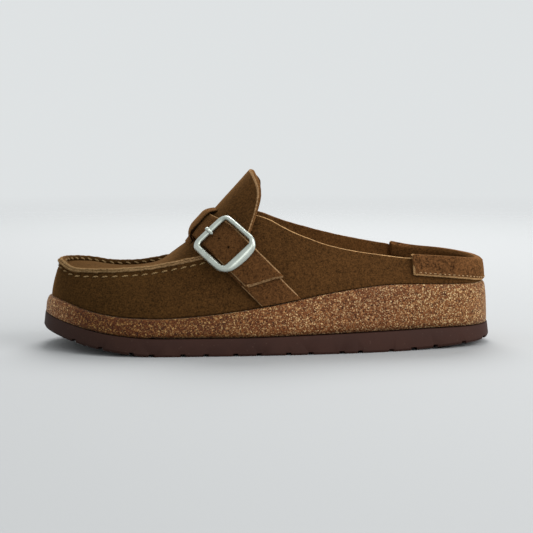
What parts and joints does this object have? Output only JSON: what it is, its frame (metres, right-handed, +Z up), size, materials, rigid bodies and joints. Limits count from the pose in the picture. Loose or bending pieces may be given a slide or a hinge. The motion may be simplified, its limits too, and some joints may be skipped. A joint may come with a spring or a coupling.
{
  "type": "cork footbed clog",
  "caption": "Closed-toe backless clog with a moccasin seam, an instep flap under a buckled strap, a thick dished cork footbed and a flat grooved outsole.",
  "frame": {"origin": "middle of the bounding box, on the floor that the sole stands on", "axes": "+X from toe to heel along the shoe, -Y to the wearer's outer side, +Z up"},
  "size_m": [0.27, 0.1006, 0.1053],
  "materials": {
    "brown_suede": "dark brown suede with a short nap and lighter raw edges",
    "footbed_lining": "pale brown suede lining",
    "cork": "pressed cork granules, sealed and matt",
    "brown_rubber": "dark brown foamed rubber, matt",
    "satin_metal": "matt silver"
  },
  "bodies": {
    "root": {"outsole": "brown_rubber", "cork_footbed": "cork", "insole": "footbed_lining", "upper": "brown_suede", "tongue": "brown_suede", "anchor_strap": "brown_suede", "instep_strap": "brown_suede", "strap_keeper": "brown_suede", "heel_strip": "brown_suede", "buckle_frame": "satin_metal", "buckle_prong": "satin_metal"}
  },
  "joints": []
}
